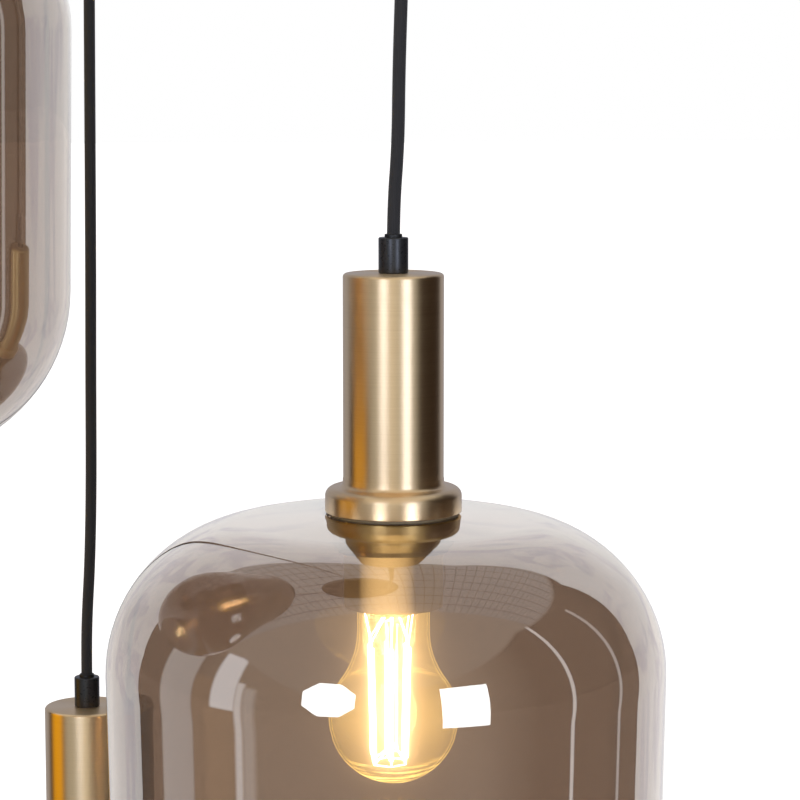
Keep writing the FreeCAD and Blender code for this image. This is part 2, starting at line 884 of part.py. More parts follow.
def bulb_filaments():
    """Glass post, flared to meet the envelope's plug, with the lit rods on wires round it."""
    top = cap_skirt - filament_top_below_cap
    bottom = top - filament_length
    foot = cap_skirt + bulb_plug_length - bulb_glass_wall
    bore = bulb_plug_radius - bulb_glass_wall - fit_clearance
    post = turned(
        [
            (0, bottom - post_radius, 0),
            (post_radius, bottom - post_radius, post_radius / 2),
            (post_radius, foot - post_flare_length, post_flare_length),
            (bore - post_rim_thickness, foot - post_rim_thickness, 0),
            (bore, foot - post_rim_thickness, 0),
            (bore, foot, 0),
            (0, foot, 0),
        ]
    )
    pieces = [post]
    for k in range(filament_count):
        turn = 2 * math.pi * k / filament_count
        low = ring_point(filament_circle_radius - filament_lean, turn, bottom)
        high = ring_point(filament_circle_radius, turn, top)
        pieces.append(rod(filament_radius, low, high))
        pieces.append(rod(hook_radius, ring_point(0, turn, bottom), low))
        pieces.append(rod(hook_radius, ring_point(0, turn, top), high))
    return pieces[0].fuse(pieces[1:])


# All pieces


def canopy_nodes():
    grip = outlet_grip()
    nut = hexagon_nut(canopy_floor + canopy_wall, stem_radius + thread_clearance)
    return {
        "canopy_cover": canopy_cover(),
        "ceiling_bracket": ceiling_bracket(),
        "cover_screws": cover_screws(),
        "earth_screw": earth_screw(),
        "terminal_block": terminal_block(),
        "canopy_leads": canopy_leads(),
        "outlet_grips": Part.makeCompound([moved(grip, outlet(name)) for name in pendants]),
        "outlet_nuts": Part.makeCompound([moved(nut, outlet(name)) for name in pendants]),
    }


head_pieces = {
    "cord_gland": cord_gland,
    "cord_clamp": cord_clamp,
    "head_stem": head_stem,
    "tube_nut": tube_nut,
    "head_tube": head_tube,
    "flange": flange,
    "sleeve": sleeve,
    "glass_seat": glass_seat,
    "clamp_ring": clamp_ring,
    "glass_shade": glass_shade,
    "lamp_holder": lamp_holder,
    "holder_contacts": holder_contacts,
    "bulb_cap": bulb_cap,
    "bulb_envelope": bulb_envelope,
    "bulb_filaments": bulb_filaments,
}


def all_nodes():
    nodes = canopy_nodes()
    shapes = {piece: make() for piece, make in head_pieces.items()}
    bush = outlet_bush()
    for name in pendants:
        nodes[f"outlet_bush_{name}"] = moved(bush, outlet(name))
        nodes[f"cord_{name}"] = cord(name)
        for piece, shape in shapes.items():
            nodes[f"{piece}_{name}"] = moved(shape, head_place(name))
    return nodes


def main():
    os.makedirs("parts", exist_ok=True)
    for node, shape in all_nodes().items():
        shape.exportStep(f"parts/{node}.step")
        print(node, len(shape.Solids), round(shape.Volume, 1), shape.isValid())


main()
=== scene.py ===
import json
import math

import bmesh
import bpy
from mathutils import Matrix, Vector


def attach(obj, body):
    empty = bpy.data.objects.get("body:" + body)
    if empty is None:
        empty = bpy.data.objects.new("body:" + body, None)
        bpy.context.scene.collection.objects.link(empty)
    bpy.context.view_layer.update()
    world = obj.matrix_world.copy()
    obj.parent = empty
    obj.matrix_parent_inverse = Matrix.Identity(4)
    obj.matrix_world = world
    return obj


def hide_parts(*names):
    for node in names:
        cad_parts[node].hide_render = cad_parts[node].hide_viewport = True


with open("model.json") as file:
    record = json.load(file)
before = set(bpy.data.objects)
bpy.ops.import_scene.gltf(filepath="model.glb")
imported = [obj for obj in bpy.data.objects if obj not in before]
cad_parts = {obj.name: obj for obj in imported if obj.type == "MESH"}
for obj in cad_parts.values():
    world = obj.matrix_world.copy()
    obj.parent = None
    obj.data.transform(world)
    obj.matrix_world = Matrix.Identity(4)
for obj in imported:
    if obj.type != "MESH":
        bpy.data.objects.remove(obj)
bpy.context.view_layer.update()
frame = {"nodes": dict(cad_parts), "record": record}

# A cluster of three glass pendants. Lengths of turned pieces are in millimetres, with heights
# measured from the top of a pendant's brass tube; places and cords are in metres.
MILLIMETRE = 0.001

# Where the top of each brass tube is, on the axis of its lamp head
HEADS = {
    "a": (0.133964, -0.08, -1.044),
    "b": (-0.0078, 0.16, -1.2975),
    "c": (-0.136264, -0.08, -0.752),
}
OUTLETS = {
    "a": (0.138564, -0.08),
    "b": (0.0, 0.16),
    "c": (-0.138564, -0.08),
}
CORD_TOP = -0.031
CORD_DIAMETER = 0.006
CORD_END = -0.105
CORD_LENGTHS = {"a": 1.118, "b": 1.372, "c": 0.826}

# Free points of each cord, from its lamp head's place, going down
CORD_POINTS = {
    "a": [
        (0.0046, 0.0, 0.972),
        (0.0049, -0.0006, 0.92),
        (0.0056, -0.0012, 0.85),
        (0.0063, -0.0009, 0.77),
        (0.0065, 0.0001, 0.69),
        (0.0061, 0.0012, 0.612),
        (0.0053, 0.0016, 0.534),
        (0.0047, 0.0011, 0.456),
        (0.0046, 0.0, 0.376),
        (0.0056, 0.0009, 0.33),
        (0.0064, 0.0022, 0.278),
        (0.0063, 0.0028, 0.222),
        (0.0053, 0.0022, 0.17),
        (0.0038, 0.0012, 0.126),
        (0.0026, 0.0006, 0.09),
        (0.0022, 0.0002, 0.058),
        (0.0, 0.0, 0.029),
    ],
    "b": [
        (0.0078, 0.0, 1.222),
        (0.0076, -0.0005, 1.172),
        (0.007, -0.0013, 1.104),
        (0.0064, -0.0015, 1.026),
        (0.0063, -0.0007, 0.946),
        (0.0068, 0.0005, 0.866),
        (0.0076, 0.0013, 0.786),
        (0.008, 0.0009, 0.706),
        (0.0078, 0.0, 0.626),
        (0.0081, 0.0008, 0.584),
        (0.0076, 0.0019, 0.528),
        (0.0071, 0.0028, 0.462),
        (0.0065, 0.0026, 0.39),
        (0.0059, 0.0019, 0.318),
        (0.0053, 0.0014, 0.246),
        (0.0044, 0.0009, 0.178),
        (0.0039, 0.0005, 0.122),
        (0.0026, 0.0002, 0.08),
        (0.0005, 0.0, 0.048),
        (0.0, 0.0, 0.027),
    ],
    "c": [
        (-0.0023, 0.0, 0.68),
        (-0.0026, 0.0005, 0.628),
        (-0.0032, 0.0012, 0.556),
        (-0.0035, 0.0011, 0.476),
        (-0.0032, 0.0002, 0.396),
        (-0.0026, -0.0008, 0.318),
        (-0.0021, -0.0011, 0.244),
        (-0.002, -0.0007, 0.178),
        (-0.0022, -0.0003, 0.128),
        (-0.0023, 0.0, 0.093),
        (-0.002, 0.0003, 0.07),
        (-0.0005, 0.0004, 0.046),
        (0.0, 0.0, 0.026),
    ],
}
CORD_POINTS_IN_HEAD = [(0.0, 0.0, -0.012), (0.0004, 0.0002, -0.042), (-0.0003, 0.0001, -0.072)]


# Node helpers


def input_of(node, name, value):
    """Sets one input, by a plain value or by a link from another node's output."""
    if isinstance(value, bpy.types.NodeSocket):
        node.id_data.links.new(value, node.inputs[name])
    else:
        node.inputs[name].default_value = value


def add_node(tree, kind, settings=None, **inputs):
    """A node with its settings, and its inputs given by their names with _ for spaces."""
    node = tree.nodes.new(kind)
    for name, value in (settings or {}).items():
        setattr(node, name, value)
    for name, value in inputs.items():
        input_of(node, int(name[1:]) if name[1:].isdigit() else name.replace("_", " "), value)
    return node


def math_node(tree, operation, *values):
    node = tree.nodes.new("ShaderNodeMath")
    node.operation = operation
    for index, value in enumerate(values):
        input_of(node, index, value)
    return node.outputs[0]


def colour(red, green, blue):
    return (red, green, blue, 1.0)


def new_material(name):
    material = bpy.data.materials.new(name)
    material.use_nodes = True
    shader = material.node_tree.nodes["Principled BSDF"]
    return material, material.node_tree, shader


def mix_colours(tree, factor, first, second):
    node = tree.nodes.new("ShaderNodeMix")
    node.data_type = "RGBA"
    input_of(node, 0, factor)
    input_of(node, 6, first)
    input_of(node, 7, second)
    return node.outputs[2]


def mix_values(tree, factor, first, second):
    node = tree.nodes.new("ShaderNodeMix")
    input_of(node, 0, factor)
    input_of(node, 2, first)
    input_of(node, 3, second)
    return node.outputs[0]


def map_range(tree, value, low, high, to_low, to_high):
    node = add_node(
        tree, "ShaderNodeMapRange", Value=value, From_Min=low, From_Max=high, To_Min=to_low, To_Max=to_high
    )
    return node.outputs[0]


def new_group(name, inputs, outputs):
    """A shader node group with named inputs and outputs, each with its plain value."""
    group = bpy.data.node_groups.new(name, "ShaderNodeTree")
    for way, sockets in (("INPUT", inputs), ("OUTPUT", outputs)):
        for socket_name, value in sockets.items():
            kind = "NodeSocketFloat" if isinstance(value, float) else "NodeSocketColor"
            socket = group.interface.new_socket(name=socket_name, in_out=way, socket_type=kind)
            socket.default_value = value
    return group, group.nodes.new("NodeGroupInput").outputs, group.nodes.new("NodeGroupOutput").inputs


# Mesh helpers

SHARP_ANGLE = math.radians(32)


def plain_mesh(name, bm):
    mesh = bpy.data.meshes.new(name)
    bm.to_mesh(mesh)
    bm.free()
    return mesh


def finished_mesh(name, bm):
    for face in bm.faces:
        face.smooth = True
    for edge in bm.edges:
        edge.smooth = not (edge.is_manifold and edge.calc_face_angle(0) > SHARP_ANGLE)
    return plain_mesh(name, bm)


def spun_mesh(name, bm, steps):
    """The mesh of an outline in the XZ plane, spun about the Z axis."""
    bmesh.ops.spin(
        bm, geom=bm.verts[:] + bm.edges[:], cent=(0, 0, 0), axis=(0, 0, 1),
        angle=2 * math.pi, steps=steps, use_merge=True,
    )
    bmesh.ops.remove_doubles(bm, verts=bm.verts, dist=0.001)
    bmesh.ops.recalc_face_normals(bm, faces=bm.faces)
    return finished_mesh(name, bm)


def turned_mesh(name, corners, steps=128, rounding_segments=6):
    """A closed outline of (across, height, rounding) corners, spun about the Z axis."""
    bm = bmesh.new()
    points = [Vector((across, 0, height)) for across, height, _ in corners]
    ring = [bm.verts.new(point) for point in points]
    for first, second in zip(ring, ring[1:] + ring[:1]):
        if first.co.x > 0 or second.co.x > 0:
            bm.edges.new((first, second))
    for k, (_, _, rounding) in enumerate(corners):
        if rounding:
            before, after = points[k - 1] - points[k], points[(k + 1) % len(points)] - points[k]
            reach = rounding / math.tan(before.angle(after) / 2)
            bmesh.ops.bevel(
                bm, geom=[ring[k]], offset=reach, offset_type="OFFSET", affect="VERTICES",
                segments=rounding_segments, profile=0.5, material=-1,
            )
    return spun_mesh(name, bm, steps)


def linked_object(name, data):
    piece = bpy.data.objects.new(name, data)
    bpy.context.scene.collection.objects.link(piece)
    return piece


def at_head(name, mesh, pendant, shift=0.0):
    """An object of a mesh in millimetres, put in its place on one pendant."""
    copy = mesh.copy()
    place = Vector(HEADS[pendant]) + Vector((shift, 0, 0))
    copy.transform(Matrix.Translation(place) @ Matrix.Scale(MILLIMETRE, 4))
    return linked_object(f"{name}_{pendant}", copy)


def dress(piece, material, body, slot, *nodes):
    piece.data.materials.clear()
    piece.data.materials.append(material)
    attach(piece, body)
    if nodes:
        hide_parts(*nodes)


# Cords


def cord_route(pendant):
    head = Vector(HEADS[pendant])
    top = Vector((*OUTLETS[pendant], CORD_TOP))
    inner = CORD_POINTS[pendant] + CORD_POINTS_IN_HEAD
    return [top] + [head + Vector(point) for point in inner] + [head + Vector((0, 0, CORD_END))]


def cord_curve(pendant, bevel):
    curve = bpy.data.curves.new(f"cord_line_{pendant}", "CURVE")
    curve.dimensions = "3D"
    curve.resolution_u = 12
    curve.bevel_depth = bevel
    curve.bevel_resolution = 6
    curve.use_fill_caps = bevel > 0
    spline = curve.splines.new("NURBS")
    route = cord_route(pendant)
    spline.points.add(len(route) - 1)
    for point, place in zip(spline.points, route):
        point.co = (*place, 1)
    spline.order_u = 3
    spline.use_endpoint_u = True
    return bpy.data.objects.new(f"cord_line_{pendant}", curve)


def cord_piece(pendant):
    """Textile cord as a tube along the route's smooth line, with lengths of cord in its UV map."""
    line = cord_curve(pendant, 0.0)
    path = [vertex.co.copy() for vertex in bpy.data.meshes.new_from_object(line).vertices]
    mesh = bpy.data.meshes.new_from_object(cord_curve(pendant, CORD_DIAMETER / 2))
    turns = CORD_LENGTHS[pendant] / CORD_DIAMETER
    for loop in mesh.uv_layers.active.data:
        loop.uv.x *= turns
    mesh.shade_smooth()
    piece = linked_object(f"textile_cord_{pendant}", mesh)
    return piece


# Camera

CAMERA_PLACE = (0.0, -1.298, -0.9502)
CAMERA_TURN_RIGHT = math.radians(6.417)
CAMERA_TILT_DOWN = math.radians(7.06)
CAMERA_LENS = 122.0
CAMERA_SENSOR_WIDTH = 36


def make_camera():
    data = bpy.data.cameras.new("camera")
    data.lens = CAMERA_LENS
    data.sensor_width = CAMERA_SENSOR_WIDTH
    data.clip_start = 0.05
    camera = linked_object("camera", data)
    camera.location = CAMERA_PLACE
    camera.rotation_euler = (math.pi / 2 - CAMERA_TILT_DOWN, 0, -CAMERA_TURN_RIGHT)
    bpy.context.scene.camera = camera


# Studio


def band(tree, angle, low, high, edge):
    """1 where an angle in degrees lies between two values, with soft edges."""
    rise = map_range(tree, angle, low - edge, low + edge, 0, 1)
    fall = map_range(tree, angle, high - edge, high + edge, 1, 0)
    return math_node(tree, "MULTIPLY", rise, fall)


# The studio round the lamp, as ranges of turn and rise in degrees, edge, and light. Turns count
# from the camera's side, to the right. The glass mirrors it sharply, and the brass softly.
DARK_STUDIO = (0.03, 0.02, 0.015)
GLASS_STUDIO = [
    ((-84, 44), (-90, 90), 14, (0.62, 0.51, 0.39)),
    ((-108, -89.5), (-90, 34), 0.8, (1.3, 1.3, 1.3)),
    ((-89.5, -60), (-90, 12), 1, (0.5, 0.34, 0.2)),
    ((-83, -69), (-90, -4), 1.5, (0.75, 0.5, 0.28)),
    ((-80, -68.5), (-4, 29), 0.8, (3.2, 3.2, 3.25)),
    ((-68.5, -65), (-90, 14), 0.8, (2.8, 2.75, 2.7)),
    ((-65, -59.5), (-90, 12), 1.2, (1.5, 1.4, 1.3)),
    ((73.0, 74.8), (-90, 47), 0.3, (3.0, 3.0, 3.0)),
    ((101.0, 102.8), (-90, 38), 0.4, (1.5, 1.5, 1.5)),
]
BRASS_STUDIO = [
    ((-108, -72), (-90, -6.5), 4, (0.72, 0.36, 0.0)),
    ((-108, -72), (-6.5, 60), 4, (1.15, 0.62, 0.0)),
    ((-64, 50), (-90, 90), 6, (0.44, 0.46, 0.47)),
    ((-17, 1), (-90, 90), 5, (0.78, 0.77, 0.72)),
]
BRASS_BACKDROP = [
    ((126, 200), (-90, 60), 6, (0.38, 0.39, 0.46)),
    ((-200, -126), (-90, 60), 6, (0.38, 0.39, 0.46)),
]
# Borders as sums of ramps over the turn: from turn, to turn, and the ramp's rise before and after.
# The ceiling begins lower in front of the lamp than at its sides. The backdrop's upper edge falls
# from behind the lamp to each side.
CEILING_EDGE = [(-72, -32, 19, 0), (-32, 21, 10, 24), (21, 65, 0, 20)]
BACKDROP_TOP_LEFT = [(-180, -133, 57, 37), (-133, -124, 0, -32)]
BACKDROP_TOP_RIGHT = [(116.5, 123, 8, 40), (123, 155, 0, 16)]
BACKDROP_SIDES = (-124, 116.5)
# The backdrop's light grows with its rise. Low down behind the lamp lies a shadow, and all over
# the backdrop faint clouds.
BACKDROP_LIGHT = 1.8
BACKDROP_LIGHT_HIGH = 2.25
BACKDROP_LIGHT_RISES = (14, 45)
SHADOW_TURNS = (128, 178)
SHADOW_RISES = (-10, 14)
SHADOW_LIGHT = 0.34
SHADOW_EDGE_LIGHT = 0.9
CLOUD_LIGHT = 0.82
CLOUD_COOLNESS = 0.6
CEILING_LIGHT = (0.74, 0.66, 0.56)
# The skylight is a strip across the ceiling, with its bars counted on a ceiling at height 1
SKYLIGHT_FRONT = -0.24
SKYLIGHT_BARS = (0.042, 0.126)
SKYLIGHT_BAR_EDGE = (0.06, 0.14)
SKYLIGHT_BAR_LIGHT = 0.5
SKYLIGHT_LIGHT = 0.8


def make_world():
    world = bpy.data.worlds.new("studio")
    bpy.context.scene.world = world
    world.use_nodes = True
    tree = world.node_tree
    tree.nodes.clear()
    direction = add_node(tree, "ShaderNodeTexCoord").outputs["Generated"]
    split = add_node(tree, "ShaderNodeSeparateXYZ", Vector=direction)
    to_degrees = 180 / math.pi
    towards_camera = math_node(tree, "MULTIPLY", split.outputs[1], -1)
    turn = math_node(tree, "MULTIPLY", math_node(tree, "ARCTAN2", split.outputs[0], towards_camera), to_degrees)
    rise = math_node(tree, "MULTIPLY", math_node(tree, "ARCSINE", split.outputs[2]), to_degrees)

    def multiply(first, second):
        return math_node(tree, "MULTIPLY", first, second)

    def border(ramps):
        """The rise of a border at each turn."""
        level = 0.0
        for low, high, from_level, to_level in ramps:
            level = math_node(tree, "ADD", level, map_range(tree, turn, low, high, from_level, to_level))
        return level

    def rgb(red, green, blue):
        return add_node(tree, "ShaderNodeCombineColor", Red=red, Green=green, Blue=blue).outputs[0]

    above_wall = map_range(tree, math_node(tree, "SUBTRACT", rise, border(CEILING_EDGE)), -1, 1, 0, 1)
    right_side = math_node(tree, "GREATER_THAN", turn, 0)
    backdrop_top = mix_values(tree, right_side, border(BACKDROP_TOP_LEFT), border(BACKDROP_TOP_RIGHT))
    under_top = map_range(tree, math_node(tree, "SUBTRACT", rise, backdrop_top), -0.6, 0.6, 1, 0)
    left_end, right_end = BACKDROP_SIDES
    past_left = math_node(tree, "LESS_THAN", turn, left_end)
    past_right = math_node(tree, "GREATER_THAN", turn, right_end)
    in_backdrop = multiply(mix_values(tree, right_side, past_left, past_right), under_top)
    beside_shadow = map_range(tree, math_node(tree, "ABSOLUTE", turn), *SHADOW_TURNS, 1.0, SHADOW_LIGHT)
    above_shadow = map_range(tree, rise, *SHADOW_RISES, SHADOW_LIGHT, SHADOW_EDGE_LIGHT)
    backdrop_light = multiply(
        math_node(tree, "MAXIMUM", beside_shadow, above_shadow),
        map_range(tree, rise, *BACKDROP_LIGHT_RISES, BACKDROP_LIGHT, BACKDROP_LIGHT_HIGH),
    )
    clouds = add_node(tree, "ShaderNodeTexNoise", Vector=direction, Scale=5.0, Detail=4.0, Distortion=1.2)
    clouds = map_range(tree, clouds.outputs["Fac"], 0.38, 0.5, CLOUD_LIGHT, 1.0)
    warm = multiply(backdrop_light, clouds)
    cool = multiply(backdrop_light, math_node(tree, "POWER", clouds, CLOUD_COOLNESS))
    backdrop_tone = rgb(warm, warm, cool)
    bars = 1.0
    for axis, gap in enumerate(SKYLIGHT_BARS):
        along = math_node(tree, "DIVIDE", split.outputs[axis], split.outputs[2])
        phase = math_node(tree, "FRACT", math_node(tree, "DIVIDE", along, gap))
        bars = multiply(bars, map_range(tree, phase, *SKYLIGHT_BAR_EDGE, SKYLIGHT_BAR_LIGHT, 1.0))
    in_front = math_node(tree, "DIVIDE", split.outputs[1], split.outputs[2])
    in_skylight = multiply(math_node(tree, "GREATER_THAN", in_front, SKYLIGHT_FRONT), above_wall)
    glazing = multiply(bars, SKYLIGHT_LIGHT)
    glazing = rgb(glazing, glazing, glazing)

    def with_areas(lit, areas):
        for (left, right), (low, high), edge, light in areas:
            area = multiply(band(tree, turn, left, right, edge), band(tree, rise, low, high, edge))
            lit = mix_colours(tree, area, lit, colour(*light))
        return lit

    def with_ceiling(lit):
        lit = mix_colours(tree, above_wall, lit, colour(*CEILING_LIGHT))
        return mix_colours(tree, in_skylight, lit, glazing)

    sharp = with_ceiling(with_areas(colour(*DARK_STUDIO), GLASS_STUDIO))
    sharp = mix_colours(tree, in_backdrop, sharp, backdrop_tone)
    soft = with_areas(with_ceiling(with_areas(colour(*DARK_STUDIO), BRASS_STUDIO)), BRASS_BACKDROP)
    paths = add_node(tree, "ShaderNodeLightPath")
    lit = mix_colours(tree, paths.outputs["Is Singular Ray"], soft, sharp)
    seen = math_node(tree, "MAXIMUM", paths.outputs["Is Camera Ray"], paths.outputs["Is Transmission Ray"])
    shown = mix_colours(tree, seen, lit, colour(1, 1, 1))
    background = add_node(tree, "ShaderNodeBackground", Color=shown, Strength=1.0)
    out = tree.nodes.new("ShaderNodeOutputWorld")
    tree.links.new(background.outputs[0], out.inputs[0])


SOFTBOXES = {
    "round_softbox": {"turn": -30.2, "rise": 10.4, "size": (0.61, 0.66), "corners": 8},
    "square_softbox": {"turn": 26.05, "rise": 4.7, "size": (0.565, 0.80), "corners": 4},
}
SOFTBOX_DISTANCE = 1.6
SOFTBOX_AIM = Vector((0.13, -0.2, -1.2))
SOFTBOX_LIGHT_IN_GLASS = 11.0
SOFTBOX_LIGHT = 3.8
SOFTBOX_TONE = (0.90, 1.0, 1.3)


def make_softbox(name, turn, rise, size, corners):
    """A lit panel on the camera's side, its turn counted as in the studio. The glass shows it brighter."""
    bm = bmesh.new()
    radius = 0.5 / math.cos(math.pi / corners)
    bmesh.ops.create_circle(bm, cap_ends=True, segments=corners, radius=radius)
    bmesh.ops.rotate(bm, verts=bm.verts, matrix=Matrix.Rotation(math.pi / corners, 3, "Z"))
    bmesh.ops.scale(bm, verts=bm.verts, vec=(*size, 1))
    mesh = plain_mesh(name, bm)
    across, up = math.radians(turn), math.radians(rise)
    away = Vector((math.sin(across) * math.cos(up), -math.cos(across) * math.cos(up), math.sin(up)))
    place = SOFTBOX_AIM + away * SOFTBOX_DISTANCE
    mesh.transform(Matrix.Translation(place) @ away.to_track_quat("Z", "Y").to_matrix().to_4x4())
    material, tree, shader = new_material(name)
    tree.nodes.remove(shader)
    mirrored = add_node(tree, "ShaderNodeLightPath").outputs["Is Singular Ray"]
    strength = map_range(tree, mirrored, 0, 1, SOFTBOX_LIGHT, SOFTBOX_LIGHT_IN_GLASS)
    tone = mix_colours(tree, mirrored, colour(*SOFTBOX_TONE), colour(1, 1, 1))
    light = add_node(tree, "ShaderNodeEmission", Color=tone, Strength=strength)
    tree.links.new(light.outputs[0], tree.nodes["Material Output"].inputs[0])
    mesh.materials.append(material)
    panel = linked_object(name, mesh)
    panel.visible_camera = panel.visible_transmission = panel.visible_shadow = False


FLOOR_HEIGHT = -1.85
FLOOR_SIZE = 60.0


def make_floor():
    bm = bmesh.new()
    bmesh.ops.create_grid(bm, x_segments=1, y_segments=1, size=FLOOR_SIZE / 2)
    bmesh.ops.translate(bm, verts=bm.verts, vec=(0, 0, FLOOR_HEIGHT))
    mesh = plain_mesh("floor", bm)
    material, _, shader = new_material("pale_floor")
    shader.inputs["Base Color"].default_value = colour(0.9, 0.9, 0.9)
    shader.inputs["Roughness"].default_value = 0.9
    shader.inputs["Emission Color"].default_value = colour(1, 1, 1)
    shader.inputs["Emission Strength"].default_value = 0.75
    mesh.materials.append(material)
    floor = linked_object("floor", mesh)
    floor.visible_glossy = floor.visible_diffuse = False


# Materials


GREY = (0.5, 0.5, 0.5, 1.0)
GRAIN_SCALE = 900.0
HOT_GRAIN_SCALE = 1500.0
# Turned lines are long round the axis and fine along it
LINE_STRETCH = (6, 6, 2600)


def make_uneven_finish():
    """A colour and a roughness that differ a little from grain to grain."""
    group, given, out = new_group(
        "uneven_finish", {"Colour": GREY, "Roughness": 0.5, "Unevenness": 0.15}, {"Colour": GREY, "Roughness": 0.5}
    )
    place = add_node(group, "ShaderNodeTexCoord").outputs["Object"]
    noise = add_node(group, "ShaderNodeTexNoise", Vector=place, Scale=GRAIN_SCALE, Detail=4.0).outputs["Fac"]
    least = math_node(group, "SUBTRACT", 1, given["Unevenness"])
    most = math_node(group, "ADD", 1, given["Unevenness"])
    shade = map_range(group, noise, 0.3, 0.7, least, most)
    tone = add_node(group, "ShaderNodeVectorMath", {"operation": "SCALE"}, _0=given["Colour"], Scale=shade)
    group.links.new(tone.outputs[0], out["Colour"])
    group.links.new(math_node(group, "MULTIPLY", given["Roughness"], shade), out["Roughness"])
    return group


def make_turned_lines():
    """Fine lines round the axis of a turned piece, as a colour and as a mask."""
    group, given, out = new_group(
        "turned_lines", {"Dark": GREY, "Light": GREY, "Crispness": 0.5}, {"Colour": GREY, "Mask": 0.0}
    )
    place = add_node(group, "ShaderNodeTexCoord").outputs["Object"]
    stretch = add_node(group, "ShaderNodeMapping", Vector=place, Scale=LINE_STRETCH).outputs[0]
    noise = add_node(
        group, "ShaderNodeTexNoise", Vector=stretch, Scale=1.0, Detail=6.0, Roughness=given["Crispness"]
    )
    lines = noise.outputs["Fac"]
    group.links.new(mix_colours(group, lines, given["Dark"], given["Light"]), out["Colour"])
    group.links.new(lines, out["Mask"])
    return group


def make_uneven_glow():
    """The light of a hot rod or wire, a little uneven along its length."""
    group, given, out = new_group("uneven_glow", {"Deep": GREY, "Pale": GREY}, {"Colour": GREY})
    place = add_node(group, "ShaderNodeTexCoord").outputs["Object"]
    grains = add_node(group, "ShaderNodeTexNoise", Vector=place, Scale=HOT_GRAIN_SCALE, Detail=2.0).outputs["Fac"]
    group.links.new(mix_colours(group, grains, given["Deep"], given["Pale"]), out["Colour"])
    return group


def plain_material(name, base, roughness, metallic=0.0, unevenness=0.15):
    """A finish with slight unevenness in its colour and gloss."""
    material, tree, shader = new_material(name)
    finish = add_node(
        tree, "ShaderNodeGroup", {"node_tree": uneven_finish},
        Colour=colour(*base), Roughness=roughness, Unevenness=unevenness,
    )
    tree.links.new(finish.outputs["Colour"], shader.inputs["Base Color"])
    tree.links.new(finish.outputs["Roughness"], shader.inputs["Roughness"])
    shader.inputs["Metallic"].default_value = metallic
    return material


def brushed_brass():
    """Satin brass with fine lines turned round the axis."""
    material, tree, shader = new_material("brushed_brass")
    # Painted warm light: where the glass mirrors the brass, it gets a deeper, warmer colour that stands in for the
    # bulb's warm light in the glass
    mirrored = add_node(tree, "ShaderNodeLightPath").outputs["Is Singular Ray"]
    dark = mix_colours(tree, mirrored, colour(0.74, 0.54, 0.31), colour(0.80, 0.53, 0.19))
    light = mix_colours(tree, mirrored, colour(0.92, 0.72, 0.46), colour(1.0, 0.69, 0.28))
    lines = add_node(tree, "ShaderNodeGroup", {"node_tree": turned_lines}, Dark=dark, Light=light, Crispness=0.7)
    mask = lines.outputs["Mask"]
    tree.links.new(lines.outputs["Colour"], shader.inputs["Base Color"])
    tree.links.new(map_range(tree, mask, 0.2, 0.8, 0.28, 0.42), shader.inputs["Roughness"])
    shader.inputs["Metallic"].default_value = 1.0
    shader.inputs["Anisotropic"].default_value = 0.75
    shader.inputs["Anisotropic Rotation"].default_value = 0.25
    bump = add_node(tree, "ShaderNodeBump", Height=mask, Strength=0.12, Distance=0.0002)
    tree.links.new(bump.outputs[0], shader.inputs["Normal"])
    return material


def smoke_glass():
    material, _, shader = new_material("smoke_glass")
    shader.inputs["Base Color"].default_value = colour(0.365, 0.285, 0.23)
    shader.inputs["Roughness"].default_value = 0.0
    shader.inputs["Transmission Weight"].default_value = 1.0
    shader.inputs["IOR"].default_value = 1.9
    return material


# Painted glow: how strongly the bulb's glass glows by its own emission, where it faces the eye and towards its
# outline, standing in for the filaments' light in the glass
PAINTED_GLASS_GLOW = (0.24, 0.08)
PAINTED_NECK_GLOW = 1.7
PAINTED_OUTLINE_GLOW = 1.9
# Painted glints: arcs of emitted light in the lower part, long round the axis
ARC_STRETCH = (45, 45, 1000)
PAINTED_GLINT_GLOW = (0.2, 3.2)
# Painted warm reflection: how strongly the glass glows for rough reflections, such as on the brass
PAINTED_GLOW_ON_BRASS = 2.5


